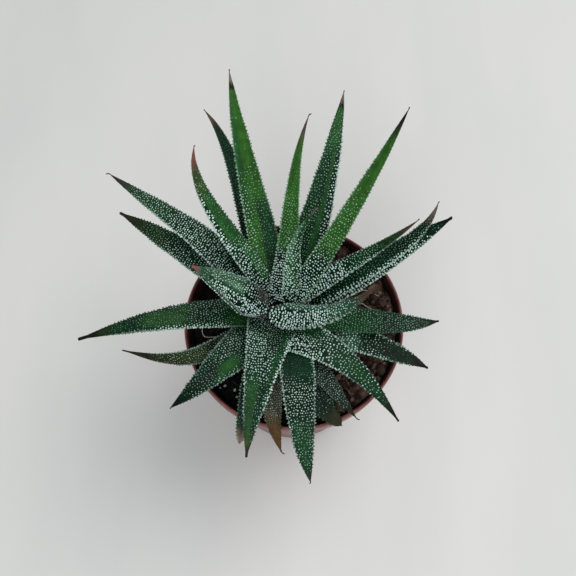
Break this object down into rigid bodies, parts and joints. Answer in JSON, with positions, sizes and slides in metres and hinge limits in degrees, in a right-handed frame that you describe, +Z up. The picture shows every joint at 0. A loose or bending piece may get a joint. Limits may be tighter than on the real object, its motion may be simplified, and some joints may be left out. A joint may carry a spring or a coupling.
{
  "type": "potted haworthia",
  "caption": "Succulent rosette of long, pointed, dotted leaves growing in soil in a round tapered plastic nursery pot that stands on its base.",
  "frame": {"origin": "centre of the pot's base, on the surface that it stands on", "axes": "+Z up; -Y is the side that faces the picture's lower edge, +X its right"},
  "size_m": [0.1458, 0.1407, 0.1463],
  "materials": {
    "pot": "thin moulded terracotta-brown nursery-pot plastic, satin",
    "soil": "dark damp peat with brown fibres and white grit",
    "stem": "short woody stem with dry leaf scars",
    "leaf": "dark green, satin, rough with pale raised dots, brown at the tip"
  },
  "bodies": {
    "root": {"pot": "pot", "soil": "soil", "stem": "stem", "leaf_01": "leaf", "leaf_02": "leaf", "leaf_03": "leaf", "leaf_04": "leaf", "leaf_05": "leaf", "leaf_06": "leaf", "leaf_07": "leaf", "leaf_08": "leaf", "leaf_09": "leaf", "leaf_10": "leaf", "leaf_11": "leaf", "leaf_12": "leaf", "leaf_13": "leaf", "leaf_14": "leaf", "leaf_15": "leaf", "leaf_16": "leaf", "leaf_17": "leaf", "leaf_18": "leaf", "leaf_19": "leaf", "leaf_20": "leaf", "leaf_21": "leaf", "leaf_22": "leaf", "leaf_23": "leaf", "leaf_24": "leaf", "leaf_25": "leaf", "leaf_26": "leaf", "leaf_27": "leaf"}
  },
  "joints": []
}
